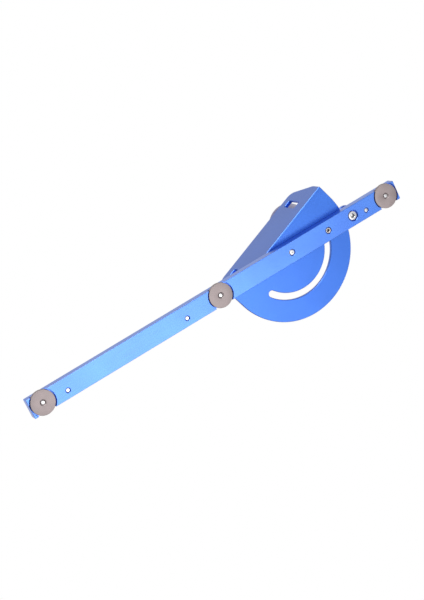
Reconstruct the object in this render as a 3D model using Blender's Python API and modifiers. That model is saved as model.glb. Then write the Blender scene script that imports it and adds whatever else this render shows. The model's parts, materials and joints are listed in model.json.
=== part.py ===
"""Table-saw mitre gauge: a bar that slides in the saw's T-slot, and a protractor head that turns on it.

Blender 4.5, metres, +Z up. The origin is on the head's pivot axis, in the plane of the bar's underside.
+X runs along the bar towards its long front end. The head is turned REST_ANGLE from square.
"""

import bpy
import bmesh
from math import cos, hypot, pi, radians, sin
from mathutils import Matrix

MM = 0.001
GAP = 0.3 * MM                      # clearance that neighbouring pieces keep
PAST = 1.0 * MM                     # how far a cutter runs past the face it opens
REST_ANGLE = radians(69)            # head's turn from square, positive towards +Y

# Bar
BAR_WIDTH = 19.05 * MM
BAR_HEIGHT = 9.525 * MM
BAR_EDGE = 0.4 * MM
DISC_SPACING = 192.5 * MM
END_MARGIN = 13.0 * MM              # from the outer discs' centres to the bar's ends
FRONT_DISC_X = 274.0 * MM
DISC_X = [FRONT_DISC_X - i * DISC_SPACING for i in range(3)]
BAR_FRONT = DISC_X[0] + END_MARGIN
BAR_REAR = DISC_X[2] - END_MARGIN
PLACES = ("front", "middle", "rear")

# T-slot discs and their screws
DISC_RADIUS = 11.9 * MM
DISC_THICK = 3.0 * MM
DISC_EDGE = 0.35 * MM
DISC_SINK_RADIUS = 3.1 * MM
DISC_SINK_DEPTH = 0.9 * MM
M4_RADIUS = 2.0 * MM
DISC_SCREW_HEAD_RADIUS = 3.5 * MM
DISC_SCREW_HEAD_HEIGHT = 2.2 * MM
DISC_SOCKET = 2.5 * MM              # sockets are measured across their flats
DISC_SOCKET_DEPTH = 1.3 * MM

# Set screws that take up play in the saw's slot
FIT_SCREW_X = [249.0 * MM, 120.0 * MM, -86.5 * MM]
FIT_SCREW_Y = -2.2 * MM
FIT_SCREW_RADIUS = 2.3 * MM
FIT_SCREW_TIP_RADIUS = 1.6 * MM
FIT_SCREW_RECESS = 0.6 * MM
FIT_SCREW_TOP = BAR_HEIGHT - 1.2 * MM
FIT_SOCKET = 2.5 * MM
FIT_SOCKET_DEPTH = 2.5 * MM

# Protractor head, in its own square position: the fence's face looks along +X
STOCK = 3.5 * MM
HEAD_RADIUS = 67.0 * MM
FENCE_FACE_X = 15.9 * MM
FENCE_HEIGHT = 47.4 * MM
FENCE_SHOULDER = 14.0 * MM          # height where the fence's ends start to lean in
FENCE_TOP_HALF = 55.6 * MM          # half length at the top, before the corners are rounded
FENCE_CORNER = 9.0 * MM
FENCE_SLOT_Y = 43.0 * MM
FENCE_SLOT_WIDTH = 8.6 * MM
FENCE_SLOT_HEIGHT = 21.0 * MM
FENCE_SLOT_MIDDLE = 27.0 * MM
FENCE_SLOT_CORNER = 1.6 * MM
PLATE_BOTTOM = BAR_HEIGHT + GAP
PLATE_TOP = PLATE_BOTTOM + STOCK
ARC_SLOT_RADIUS = 42.5 * MM
ARC_SLOT_HALF_WIDTH = 3.3 * MM
ARC_SLOT_REACH = radians(70)        # each side of the line through pivot and clamp
HEAD_BORE = 6.0 * MM

# Pivot
M6_RADIUS = 3.0 * MM
PIVOT_SHOULDER = 4.0 * MM
PIVOT_HEAD_RADIUS = 6.5 * MM
PIVOT_HEAD_HEIGHT = 3.2 * MM
PIVOT_SOCKET = 4.0 * MM
PIVOT_SOCKET_DEPTH = 2.2 * MM
PIVOT_WASHER_RADIUS = 8.0 * MM
PIVOT_WASHER_THICK = 1.0 * MM

# Clamp
CLAMP_X = -ARC_SLOT_RADIUS
STUD_RADIUS = 2.95 * MM
STUD_TOP = 60.0 * MM
STUD_BOTTOM = 0.4 * MM
STUD_SOCKET = 3.0 * MM
STUD_SOCKET_DEPTH = 3.0 * MM
CLAMP_WASHER_RADIUS = 9.0 * MM
CLAMP_WASHER_THICK = 1.6 * MM
CLAMP_WASHER_BOTTOM = PLATE_TOP + GAP
HANDLE_BOTTOM = CLAMP_WASHER_BOTTOM + CLAMP_WASHER_THICK + GAP
HANDLE_TOP = 97.0 * MM
HANDLE_BASE_RADIUS = 10.4 * MM
HANDLE_FOOT = 4.0 * MM              # height of the foot's straight side
HANDLE_EDGE = 0.5 * MM
HANDLE_WAIST_RADIUS = 9.0 * MM
HANDLE_WAIST_Z = 27.0 * MM
HANDLE_GRIP_RADIUS = 21.0 * MM
HANDLE_GRIP_Z = 86.5 * MM
INSERT_RADIUS = 5.5 * MM
INSERT_LENGTH = 20.0 * MM
HANDLE_HOLE_TOP = 66.0 * MM

# Pointer
POINTER_X = -71.8 * MM
POINTER_SCREW_RADIUS = 2.5 * MM
POINTER_SCREW_HEAD_RADIUS = 4.25 * MM
POINTER_SCREW_HEAD_HEIGHT = 4.6 * MM
POINTER_SOCKET = 4.0 * MM
POINTER_SOCKET_DEPTH = 2.6 * MM
COUNTERBORE_RADIUS = 5.15 * MM
COUNTERBORE_DEPTH = 5.4 * MM
SPACER_RADIUS = 4.2 * MM
SPACER_TOP = 14.4 * MM
POINTER_RADIUS = 9.0 * MM
POINTER_THICK = 3.0 * MM
POINTER_NOSE = 12.0 * MM            # from the screw's axis to the tip
POINTER_NOSE_ANGLE = radians(38)    # where the nose's straight sides leave the boss
POINTER_NUT_RADIUS = 4.6 * MM       # across the hexagon's corners
POINTER_NUT_HEIGHT = 3.2 * MM

BLUE = (0.045, 0.20, 0.78, 1)
STEEL = (0.60, 0.58, 0.57, 1)
BRIGHT = (0.75, 0.75, 0.76, 1)
BRASS = (0.78, 0.58, 0.25, 1)
BRONZE = (0.62, 0.42, 0.22, 1)
HANDLE_BLUE = (0.26, 0.27, 0.48, 1)
ANODISED = 0.38                     # roughness of each finish
TURNED = 0.33
PLATED = 0.3
SINTERED = 0.4


def clear_scene():
    for obj in list(bpy.data.objects):
        bpy.data.objects.remove(obj, do_unlink=True)


def collection(name):
    made = bpy.data.collections.new(name)
    bpy.context.scene.collection.children.link(made)
    return made


def material(name, colour, roughness):
    made = bpy.data.materials.new(name)
    made.use_nodes = True
    shader = made.node_tree.nodes["Principled BSDF"]
    shader.inputs["Base Color"].default_value = colour
    shader.inputs["Roughness"].default_value = roughness
    shader.inputs["Metallic"].default_value = 1.0
    return made


def add_object(name, mesh, group, parent=None):
    obj = bpy.data.objects.new(name, mesh)
    group.objects.link(obj)
    obj.parent = parent
    return obj


def axis_empty(name, location, angle=0.0):
    empty = bpy.data.objects.new(name, None)
    parts.objects.link(empty)
    empty.location = location
    empty.rotation_euler = (0, 0, angle)
    return empty


def finish(obj, name, colour, roughness):
    """Gives a part its material and smooth shading that breaks at its edges."""
    obj.data.materials.clear()
    obj.data.materials.append(material(name, colour, roughness))
    obj.data.shade_smooth()
    obj.data.set_sharp_from_angle(angle=radians(35))
    return obj


def arc(centre, radius, start, end, steps):
    """Points on an arc, both ends included."""
    angles = [start + (end - start) * i / steps for i in range(steps + 1)]
    return [(centre[0] + radius * cos(a), centre[1] + radius * sin(a)) for a in angles]


def rounded(corners, radii, steps=6):
    """The outline of a polygon, each corner replaced by an arc of its own radius."""
    outline = []
    for i, (x, y) in enumerate(corners):
        px, py = corners[i - 1]
        nx, ny = corners[(i + 1) % len(corners)]
        if not radii[i]:
            outline.append((x, y))
            continue
        back, ahead = hypot(px - x, py - y), hypot(nx - x, ny - y)
        ux, uy = (px - x) / back, (py - y) / back
        vx, vy = (nx - x) / ahead, (ny - y) / ahead
        half = hypot(ux + vx, uy + vy) / 2              # cosine of half the corner's angle
        slope = half / (1 - half * half) ** 0.5         # its cotangent
        reach = radii[i] * slope
        for k in range(steps + 1):
            t = k / steps
            a, b = (1 - t) ** 2, t ** 2
            weight = (1 - half * half) ** 0.5           # a rational quadratic is an exact arc
            w = 2 * t * (1 - t) * weight
            total = a + b + w
            sx = (a * (x + ux * reach) + w * x + b * (x + vx * reach)) / total
            sy = (a * (y + uy * reach) + w * y + b * (y + vy * reach)) / total
            outline.append((sx, sy))
    return outline


def outline_solid(name, outline, thickness, group, matrix=None, parent=None):
    """A flat outline in XY, raised from z=0 to its thickness, then moved by the matrix, as a mesh."""
    curve = bpy.data.curves.new(name, "CURVE")
    curve.dimensions = "2D"
    curve.fill_mode = "BOTH"
    curve.extrude = thickness / 2
    spline = curve.splines.new("POLY")
    spline.points.add(len(outline) - 1)
    for point, (x, y) in zip(spline.points, outline):
        point.co = (x, y, 0, 1)
    spline.use_cyclic_u = True
    guide = bpy.data.objects.new(name + "_curve", curve)
    parts.objects.link(guide)
    graph = bpy.context.evaluated_depsgraph_get()
    mesh = bpy.data.meshes.new_from_object(guide.evaluated_get(graph))
    bpy.data.objects.remove(guide, do_unlink=True)
    bpy.data.curves.remove(curve)
    cage = bmesh.new()
    cage.from_mesh(mesh)
    bmesh.ops.remove_doubles(cage, verts=cage.verts, dist=1e-6)
    bmesh.ops.translate(cage, verts=cage.verts, vec=(0, 0, thickness / 2))
    if matrix:
        bmesh.ops.transform(cage, verts=cage.verts, matrix=matrix)
    bmesh.ops.recalc_face_normals(cage, faces=cage.faces)
    cage.to_mesh(mesh)
    cage.free()
    mesh.name = name
    return add_object(name, mesh, group, parent)


def turned(name, profile, group, location=(0, 0, 0), parent=None, closed=False, steps=32):
    """A turned shape: (radius, z) pairs down its outer side, or once round a ring's section if closed."""
    edges = [(i, i + 1) for i in range(len(profile) - 1)]
    if closed:
        edges.append((len(profile) - 1, 0))
    mesh = bpy.data.meshes.new(name)
    mesh.from_pydata([(r, 0, z) for r, z in profile], edges, [])
    obj = add_object(name, mesh, group, parent)
    obj.location = location
    screw = obj.modifiers.new("turn", "SCREW")
    screw.axis = "Z"
    screw.steps = steps
    screw.render_steps = steps
    screw.use_merge_vertices = True
    screw.merge_threshold = 1e-5
    screw.use_smooth_shade = True
    return obj


def ring(name, inner, outer, bottom, top, group, location=(0, 0, 0), parent=None, steps=32):
    profile = [(inner, top), (outer, top), (outer, bottom), (inner, bottom)]
    return turned(name, profile, group, location, parent, closed=True, steps=steps)


def prism(name, radius, bottom, top, group, location=(0, 0, 0), sides=32, parent=None, tip=None):
    """An upright cylinder, or hexagon with six sides. tip is the radius at its top if that differs."""
    mesh = bpy.data.meshes.new(name)
    cage = bmesh.new()
    bmesh.ops.create_cone(cage, cap_ends=True, segments=sides, radius1=radius,
                          radius2=radius if tip is None else tip, depth=top - bottom)
    bmesh.ops.translate(cage, verts=cage.verts, vec=(0, 0, (top + bottom) / 2))
    cage.to_mesh(mesh)
    cage.free()
    obj = add_object(name, mesh, group, parent)
    obj.location = location
    return obj


def cut(obj, *tools):
    for tool in tools:
        tool.hide_render = True
        tool.display_type = "WIRE"
        boolean = obj.modifiers.new("cut_" + tool.name, "BOOLEAN")
        boolean.operation = "DIFFERENCE"
        boolean.solver = "EXACT"
        boolean.object = tool
    return obj


def join(obj, tool):
    tool.hide_render = True
    tool.display_type = "WIRE"
    boolean = obj.modifiers.new("join_" + tool.name, "BOOLEAN")
    boolean.operation = "UNION"
    boolean.solver = "EXACT"
    boolean.object = tool
    return obj


def hex_socket(name, across_flats, bottom, top, location=(0, 0, 0), parent=None):
    radius = across_flats / 2 / cos(pi / 6)
    return prism(name, radius, bottom, top, cutters, location, 6, parent)


def make_bar():
    mesh = bpy.data.meshes.new("mitre_bar")
    cage = bmesh.new()
    bmesh.ops.create_cube(cage, size=1)
    bmesh.ops.scale(cage, verts=cage.verts, vec=(BAR_FRONT - BAR_REAR, BAR_WIDTH, BAR_HEIGHT))
    bmesh.ops.translate(cage, verts=cage.verts, vec=((BAR_FRONT + BAR_REAR) / 2, 0, BAR_HEIGHT / 2))
    cage.to_mesh(mesh)
    cage.free()
    bar = add_object("mitre_bar", mesh, parts)
    bevel = bar.modifiers.new("edges", "BEVEL")
    bevel.width = BAR_EDGE
    bevel.segments = 1
    top = BAR_HEIGHT + PAST
    for place, x in zip(PLACES, DISC_X):
        at = (x, 0, 0)
        cut(bar,
            prism("cut_pocket_" + place, DISC_RADIUS + GAP, -PAST, DISC_THICK + GAP, cutters, at, 48),
            prism("cut_disc_screw_" + place, M4_RADIUS + GAP, -PAST, top, cutters, at, 24),
            prism("cut_disc_head_" + place, DISC_SCREW_HEAD_RADIUS + GAP,
                  BAR_HEIGHT - DISC_SCREW_HEAD_HEIGHT - 2 * GAP, top, cutters, at, 32))
    for place, x in zip(PLACES, FIT_SCREW_X):
        at = (x, FIT_SCREW_Y, 0)
        cut(bar, prism("cut_fit_" + place, FIT_SCREW_RADIUS + GAP, -PAST, top, cutters, at, 24))
    cut(bar,
        prism("cut_pivot", M6_RADIUS + GAP, -PAST, top, cutters, (0, 0, 0), 24),
        prism("cut_stud", STUD_RADIUS + GAP, -PAST, top, cutters, (CLAMP_X, 0, 0), 24),
        prism("cut_pointer", POINTER_SCREW_RADIUS + GAP, -PAST, top, cutters, (POINTER_X, 0, 0), 24),
        prism("cut_counterbore", COUNTERBORE_RADIUS, -PAST, COUNTERBORE_DEPTH, cutters,
              (POINTER_X, 0, 0), 32))
    finish(bar, "bar_anodised_blue", BLUE, ANODISED)


def make_disc(place, x):
    hole = M4_RADIUS + GAP
    profile = [(hole, DISC_THICK), (DISC_RADIUS - DISC_EDGE, DISC_THICK),
               (DISC_RADIUS, DISC_THICK - DISC_EDGE), (DISC_RADIUS, DISC_EDGE),
               (DISC_RADIUS - DISC_EDGE, 0), (DISC_SINK_RADIUS, 0), (hole, DISC_SINK_DEPTH)]
    disc = turned("t_slot_disc_" + place, profile, parts, (x, 0, 0), closed=True, steps=48)
    finish(disc, "disc_" + place + "_steel", STEEL, TURNED)


def make_disc_screw(place, x):
    head_top = BAR_HEIGHT - GAP
    head_bottom = head_top - DISC_SCREW_HEAD_HEIGHT
    edge = 0.3 * MM
    profile = [(0, head_top), (DISC_SCREW_HEAD_RADIUS - edge, head_top),
               (DISC_SCREW_HEAD_RADIUS, head_top - edge), (DISC_SCREW_HEAD_RADIUS, head_bottom),
               (M4_RADIUS, head_bottom), (M4_RADIUS, 2 * edge), (M4_RADIUS - edge, edge), (0, edge)]
    screw = turned("disc_screw_" + place, profile, parts, (x, 0, 0), steps=24)
    cut(screw, hex_socket("cut_disc_socket_" + place, DISC_SOCKET, head_top - DISC_SOCKET_DEPTH,
                          head_top + PAST, (x, 0, 0)))
    finish(screw, "disc_screw_" + place + "_steel", BRIGHT, PLATED)


def make_fit_screw(place, x):
    top = FIT_SCREW_TOP
    cone = FIT_SCREW_RADIUS - FIT_SCREW_TIP_RADIUS
    profile = [(0, top), (FIT_SCREW_RADIUS, top), (FIT_SCREW_RADIUS, FIT_SCREW_RECESS + cone),
               (FIT_SCREW_TIP_RADIUS, FIT_SCREW_RECESS), (0, FIT_SCREW_RECESS)]
    at = (x, FIT_SCREW_Y, 0)
    screw = turned("fit_screw_" + place, profile, parts, at, steps=24)
    cut(screw, hex_socket("cut_fit_socket_" + place, FIT_SOCKET, top - FIT_SOCKET_DEPTH, top + PAST, at))
    finish(screw, "fit_screw_" + place + "_steel", BRIGHT, PLATED)


def head_plate_outline():
    rear = arc((0, 0), HEAD_RADIUS, pi / 2, 3 * pi / 2, 72)
    return [(FENCE_FACE_X, HEAD_RADIUS)] + rear + [(FENCE_FACE_X, -HEAD_RADIUS)]


def fence_outline():
    """The fence seen along -X: (y, height above the plate's underside)."""
    right = [(HEAD_RADIUS, 0), (HEAD_RADIUS, FENCE_SHOULDER), (FENCE_TOP_HALF, FENCE_HEIGHT)]
    left = [(-y, z) for y, z in reversed(right)]
    radii = [0, FENCE_CORNER, FENCE_CORNER, FENCE_CORNER, FENCE_CORNER, 0]
    return rounded(right + left, radii, 8)


def arc_slot_outline():
    """The curved slot about the pivot, with round ends."""
    start, end = pi - ARC_SLOT_REACH, pi + ARC_SLOT_REACH
    first = (ARC_SLOT_RADIUS * cos(start), ARC_SLOT_RADIUS * sin(start))
    last = (ARC_SLOT_RADIUS * cos(end), ARC_SLOT_RADIUS * sin(end))
    outer = arc((0, 0), ARC_SLOT_RADIUS + ARC_SLOT_HALF_WIDTH, start, end, 48)
    inner = arc((0, 0), ARC_SLOT_RADIUS - ARC_SLOT_HALF_WIDTH, end, start, 48)
    far_end = arc(last, ARC_SLOT_HALF_WIDTH, end, end + pi, 10)[1:-1]
    near_end = arc(first, ARC_SLOT_HALF_WIDTH, start + pi, start + 2 * pi, 10)[1:-1]
    return outer + far_end + inner + near_end


def upright(x, z):
    """Turns an outline in XY to stand in YZ, facing +X, with its back at the given x."""
    return Matrix.Translation((x, 0, z)) @ Matrix(((0, 0, 1, 0), (1, 0, 0, 0), (0, 1, 0, 0), (0, 0, 0, 1)))


def make_head(pivot):
    head = outline_solid("protractor_head", head_plate_outline(), STOCK, parts,
                         Matrix.Translation((0, 0, PLATE_BOTTOM)), pivot)
    wall = outline_solid("join_fence", fence_outline(), STOCK, cutters,
                         upright(FENCE_FACE_X - STOCK, PLATE_BOTTOM), pivot)
    join(head, wall)
    slot = outline_solid("cut_arc_slot", arc_slot_outline(), STOCK + 2 * PAST, cutters,
                         Matrix.Translation((0, 0, PLATE_BOTTOM - PAST)), pivot)
    bore = prism("cut_head_bore", HEAD_BORE, PLATE_BOTTOM - PAST, PLATE_TOP + PAST, cutters,
                 parent=pivot)
    cut(head, slot, bore)
    half_width, half_height = FENCE_SLOT_WIDTH / 2, FENCE_SLOT_HEIGHT / 2
    for side, y in (("left", FENCE_SLOT_Y), ("right", -FENCE_SLOT_Y)):
        box = [(y - half_width, -half_height), (y + half_width, -half_height),
               (y + half_width, half_height), (y - half_width, half_height)]
        window = rounded(box, [FENCE_SLOT_CORNER] * 4, 4)
        place = upright(FENCE_FACE_X - STOCK - PAST, PLATE_BOTTOM + FENCE_SLOT_MIDDLE)
        cut(head, outline_solid("cut_fence_slot_" + side, window, STOCK + 2 * PAST, cutters, place, pivot))
    finish(head, "head_anodised_blue", BLUE, ANODISED)


def make_pivot(pivot):
    bush = ring("pivot_bush", PIVOT_SHOULDER + GAP, HEAD_BORE - GAP, PLATE_BOTTOM, PLATE_TOP, parts,
                parent=pivot)
    finish(bush, "pivot_bush_bronze", BRONZE, SINTERED)
    washer_bottom = PLATE_TOP + GAP
    washer_top = washer_bottom + PIVOT_WASHER_THICK
    washer = ring("pivot_washer", PIVOT_SHOULDER + GAP, PIVOT_WASHER_RADIUS, washer_bottom, washer_top,
                  parts)
    finish(washer, "pivot_washer_steel", STEEL, TURNED)
    head_bottom = washer_top + GAP
    head_top = head_bottom + PIVOT_HEAD_HEIGHT
    edge = 0.8 * MM
    profile = [(0, head_top), (PIVOT_HEAD_RADIUS - edge, head_top), (PIVOT_HEAD_RADIUS, head_top - edge),
               (PIVOT_HEAD_RADIUS, head_bottom), (PIVOT_SHOULDER, head_bottom),
               (PIVOT_SHOULDER, PLATE_BOTTOM), (M6_RADIUS, PLATE_BOTTOM), (M6_RADIUS, 0), (0, 0)]
    screw = turned("pivot_shoulder_screw", profile, parts)
    cut(screw, hex_socket("cut_pivot_socket", PIVOT_SOCKET, head_top - PIVOT_SOCKET_DEPTH, head_top + PAST))
    finish(screw, "pivot_screw_steel", BRIGHT, PLATED)


def make_clamp(axis):
    tip = 0.5 * MM
    profile = [(0, STUD_TOP), (STUD_RADIUS - tip, STUD_TOP), (STUD_RADIUS, STUD_TOP - tip),
               (STUD_RADIUS, STUD_BOTTOM + tip), (STUD_RADIUS - tip, STUD_BOTTOM), (0, STUD_BOTTOM)]
    stud = turned("clamp_stud", profile, parts, parent=axis)
    cut(stud, hex_socket("cut_stud_socket", STUD_SOCKET, STUD_BOTTOM - PAST,
                         STUD_BOTTOM + STUD_SOCKET_DEPTH, parent=axis))
    finish(stud, "clamp_stud_steel", BRIGHT, PLATED)
    washer = ring("clamp_washer", STUD_RADIUS + GAP, CLAMP_WASHER_RADIUS, CLAMP_WASHER_BOTTOM,
                  CLAMP_WASHER_BOTTOM + CLAMP_WASHER_THICK, parts, parent=axis)
    finish(washer, "clamp_washer_steel", STEEL, TURNED)
    insert = ring("handle_insert", STUD_RADIUS + GAP, INSERT_RADIUS, HANDLE_BOTTOM + GAP,
                  HANDLE_BOTTOM + INSERT_LENGTH, parts, parent=axis)
    finish(insert, "handle_insert_brass", BRASS, TURNED)


def handle_profile():
    """Down the grip's outer side: domed top, wide grip, slim waist and a flared foot."""
    dome = HANDLE_TOP - HANDLE_GRIP_Z
    top = [(HANDLE_GRIP_RADIUS * sin(a), HANDLE_GRIP_Z + dome * cos(a))
           for a in [pi / 2 * i / 8 for i in range(9)]]
    span = HANDLE_GRIP_Z - HANDLE_WAIST_Z
    side = []
    for i in range(1, 13):
        t = i / 12
        ease = (1 + cos(pi * t ** 0.8)) / 2
        side.append((HANDLE_WAIST_RADIUS + (HANDLE_GRIP_RADIUS - HANDLE_WAIST_RADIUS) * ease,
                     HANDLE_GRIP_Z - span * t))
    foot = [(HANDLE_BASE_RADIUS, HANDLE_BOTTOM + HANDLE_FOOT),
            (HANDLE_BASE_RADIUS, HANDLE_BOTTOM + HANDLE_EDGE),
            (HANDLE_BASE_RADIUS - HANDLE_EDGE, HANDLE_BOTTOM)]
    hole = STUD_RADIUS + 2 * GAP
    seat_top = HANDLE_BOTTOM + INSERT_LENGTH + GAP
    bore = [(INSERT_RADIUS + GAP, HANDLE_BOTTOM), (INSERT_RADIUS + GAP, seat_top), (hole, seat_top),
            (hole, HANDLE_HOLE_TOP), (0, HANDLE_HOLE_TOP)]
    return top + side + foot + bore


def make_handle(axis):
    handle = turned("clamp_handle", handle_profile(), parts, parent=axis, steps=40)
    finish(handle, "handle_anodised", HANDLE_BLUE, ANODISED)


def pointer_outline():
    """A round boss with a nose that points at the pivot."""
    boss = arc((0, 0), POINTER_RADIUS, POINTER_NOSE_ANGLE, 2 * pi - POINTER_NOSE_ANGLE, 30)
    tip = 0.5 * MM
    return boss + [(POINTER_NOSE, -tip), (POINTER_NOSE, tip)]


def make_pointer(axis):
    spacer = ring("pointer_spacer", POINTER_SCREW_RADIUS + GAP, SPACER_RADIUS, BAR_HEIGHT + GAP, SPACER_TOP,
                  parts, parent=axis)
    finish(spacer, "pointer_spacer_aluminium", BRIGHT, PLATED)
    bottom = SPACER_TOP + GAP
    top = bottom + POINTER_THICK
    pointer = outline_solid("pointer", pointer_outline(), POINTER_THICK, parts,
                            Matrix.Translation((0, 0, bottom)), axis)
    cut(pointer, prism("cut_pointer_hole", POINTER_SCREW_RADIUS + GAP, bottom - PAST, top + PAST, cutters,
                       sides=24, parent=axis))
    finish(pointer, "pointer_anodised_blue", BLUE, ANODISED)
    nut_bottom = top + GAP
    nut_top = nut_bottom + POINTER_NUT_HEIGHT
    nut = prism("pointer_nut", POINTER_NUT_RADIUS, nut_bottom, nut_top, parts, sides=6, parent=axis)
    cut(nut, prism("cut_nut_hole", POINTER_SCREW_RADIUS + GAP, nut_bottom - PAST, nut_top + PAST, cutters,
                   sides=24, parent=axis))
    finish(nut, "pointer_nut_steel", BRIGHT, PLATED)
    head_top = COUNTERBORE_DEPTH - GAP
    head_bottom = head_top - POINTER_SCREW_HEAD_HEIGHT
    edge = 0.4 * MM
    profile = [(0, nut_top), (POINTER_SCREW_RADIUS, nut_top), (POINTER_SCREW_RADIUS, head_top),
               (POINTER_SCREW_HEAD_RADIUS, head_top), (POINTER_SCREW_HEAD_RADIUS, head_bottom + edge),
               (POINTER_SCREW_HEAD_RADIUS - edge, head_bottom), (0, head_bottom)]
    screw = turned("pointer_cap_screw", profile, parts, parent=axis, steps=32)
    cut(screw, hex_socket("cut_cap_socket", POINTER_SOCKET, head_bottom - PAST,
                          head_bottom + POINTER_SOCKET_DEPTH, parent=axis))
    finish(screw, "pointer_screw_steel", BRIGHT, PLATED)


clear_scene()
parts = collection("mitre_gauge")
cutters = collection("cutters")
head_axis = axis_empty("head_pivot", (0, 0, 0), REST_ANGLE)
clamp_axis = axis_empty("clamp_axis", (CLAMP_X, 0, 0))
pointer_axis = axis_empty("pointer_axis", (POINTER_X, 0, 0))
make_bar()
for spot, along in zip(PLACES, DISC_X):
    make_disc(spot, along)
    make_disc_screw(spot, along)
for spot, along in zip(PLACES, FIT_SCREW_X):
    make_fit_screw(spot, along)
make_head(head_axis)
make_pivot(head_axis)
make_clamp(clamp_axis)
make_handle(clamp_axis)
make_pointer(pointer_axis)
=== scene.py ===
import json
import bpy
import bmesh
from math import atan2, cos, hypot, pi, radians, sin
from mathutils import Matrix, Vector


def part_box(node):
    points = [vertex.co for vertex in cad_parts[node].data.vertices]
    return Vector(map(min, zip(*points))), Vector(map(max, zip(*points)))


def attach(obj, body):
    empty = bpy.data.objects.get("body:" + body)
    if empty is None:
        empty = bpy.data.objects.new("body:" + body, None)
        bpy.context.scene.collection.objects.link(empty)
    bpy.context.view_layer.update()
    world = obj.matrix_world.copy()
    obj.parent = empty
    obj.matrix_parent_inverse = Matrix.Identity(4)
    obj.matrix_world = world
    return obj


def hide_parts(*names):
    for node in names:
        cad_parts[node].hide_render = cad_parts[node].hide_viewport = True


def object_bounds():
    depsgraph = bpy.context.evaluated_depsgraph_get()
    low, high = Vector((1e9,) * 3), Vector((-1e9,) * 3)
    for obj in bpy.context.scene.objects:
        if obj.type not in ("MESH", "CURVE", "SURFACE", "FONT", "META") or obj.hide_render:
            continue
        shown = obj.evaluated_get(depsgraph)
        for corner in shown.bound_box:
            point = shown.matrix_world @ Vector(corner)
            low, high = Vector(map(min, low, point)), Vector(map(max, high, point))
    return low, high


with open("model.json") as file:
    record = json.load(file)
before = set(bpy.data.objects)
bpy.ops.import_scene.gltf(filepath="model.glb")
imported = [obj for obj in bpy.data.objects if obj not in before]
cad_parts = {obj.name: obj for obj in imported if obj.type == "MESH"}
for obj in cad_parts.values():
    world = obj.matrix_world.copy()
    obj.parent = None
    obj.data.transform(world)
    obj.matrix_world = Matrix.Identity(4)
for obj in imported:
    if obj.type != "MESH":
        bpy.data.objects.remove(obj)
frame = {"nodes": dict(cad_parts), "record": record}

cad_low, cad_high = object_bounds()

MM = 0.001
GAP = 0.3 * MM                      # clearance between neighbouring pieces, as in the CAD model
ROUND_STEPS = 96                    # segments round a turned piece
HOLE_STEPS = 64                     # and round a small hole or screw
CREASE = radians(28)                # sharper folds than this are shaded as edges
PAST = 1.0 * MM                     # how far a cutter runs past the face it opens
PLACES = ("front", "middle", "rear")

# Bar
BAR_EDGE = 0.35 * MM                # chamfers
RIM_EDGE = 0.25 * MM
DISC_POCKET_GAP = 1.05 * MM         # round a disc, where the shadow line shows
DISC_POCKET_FLOOR_GAP = 0.8 * MM    # above the disc
DISC_POCKET_EDGE = 0.15 * MM
COUNTERBORE_RADIUS = 5.15 * MM
COUNTERBORE_DEPTH = 5.4 * MM
COUNTERBORE_EDGE = 0.45 * MM

# Discs
SINK_RADIUS = 3.1 * MM              # countersink round the screw's end
SINK_DEPTH = 0.9 * MM

# Screws. A socket is its width across flats and its depth
M4_RADIUS = 2.0 * MM
M5_RADIUS = 2.5 * MM
M6_RADIUS = 3.0 * MM
THREAD_GAP = 0.15 * MM              # round a screw in its tapped hole
SOCKET_FLARE = 0.25 * MM            # cone at a socket's mouth
DRILL_SHARE = 0.93                  # of a socket's half width, the radius of the drill point below it
DRILL_SLOPE = 0.6
DISC_SCREW_HEAD = 2.2 * MM          # height
DISC_SCREW_SINK = 2.5 * MM          # how far below the head's top its recess goes
DISC_SCREW_SOCKET = (2.5 * MM, 1.3 * MM)
FIT_SCREW_SOCKET = (2.5 * MM, 2.5 * MM)
PIVOT_HEAD = 3.2 * MM
PIVOT_SHOULDER = 4.0 * MM           # radius
PIVOT_SOCKET = (4.0 * MM, 2.2 * MM)
PIVOT_DIMPLE = 0.9 * MM             # lathe centre in the screw's end
PIVOT_WASHER_BORE = 4.2 * MM
CAP_HEAD = 4.6 * MM
CAP_SINK = 0.5 * MM                 # off the head's lower face, so that it lies deeper than in the CAD model
CAP_SOCKET = (4.0 * MM, 3.3 * MM)
KNURLS = 48
KNURL_DEPTH = 0.12 * MM

# Clamp
STUD_SOCKET = (3.0 * MM, 4.0 * MM)
STUD_THREAD_TOP = 20.0 * MM
THREAD_PITCH = 1.0 * MM
THREAD_DEPTH = 0.55 * MM
ROD_END_CHAMFER = 0.5 * MM
CLAMP_WASHER_BORE = 3.3 * MM
HANDLE_BASE = 10.4 * MM             # radius of the foot
HANDLE_WAIST = 9.0 * MM
HANDLE_WAIST_Z = 27.0 * MM
HANDLE_GRIP_Z = 86.5 * MM           # height of the widest place
HANDLE_DISH = 5.0 * MM              # shallow hollow in the top
HANDLE_DISH_DEPTH = 0.5 * MM
GROOVE_HALF_WIDTH = 0.9 * MM
GROOVE_DEPTH = 0.4 * MM
INSERT_BORE = 5.8 * MM
INSERT_BORE_DEPTH = 20.3 * MM
STUD_BORE = 3.55 * MM
STUD_BORE_TOP = 66.0 * MM

# Pointer
POINTER_ANGLE = radians(38)         # half the angle at which the nose leaves the boss
POINTER_TIP = 0.5 * MM              # half the width of the nose's end
POINTER_EDGE = 0.4 * MM
INDEX_LENGTH = 5.2 * MM
INDEX_WIDTH = 0.35 * MM
INDEX_SETBACK = 0.5 * MM

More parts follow.
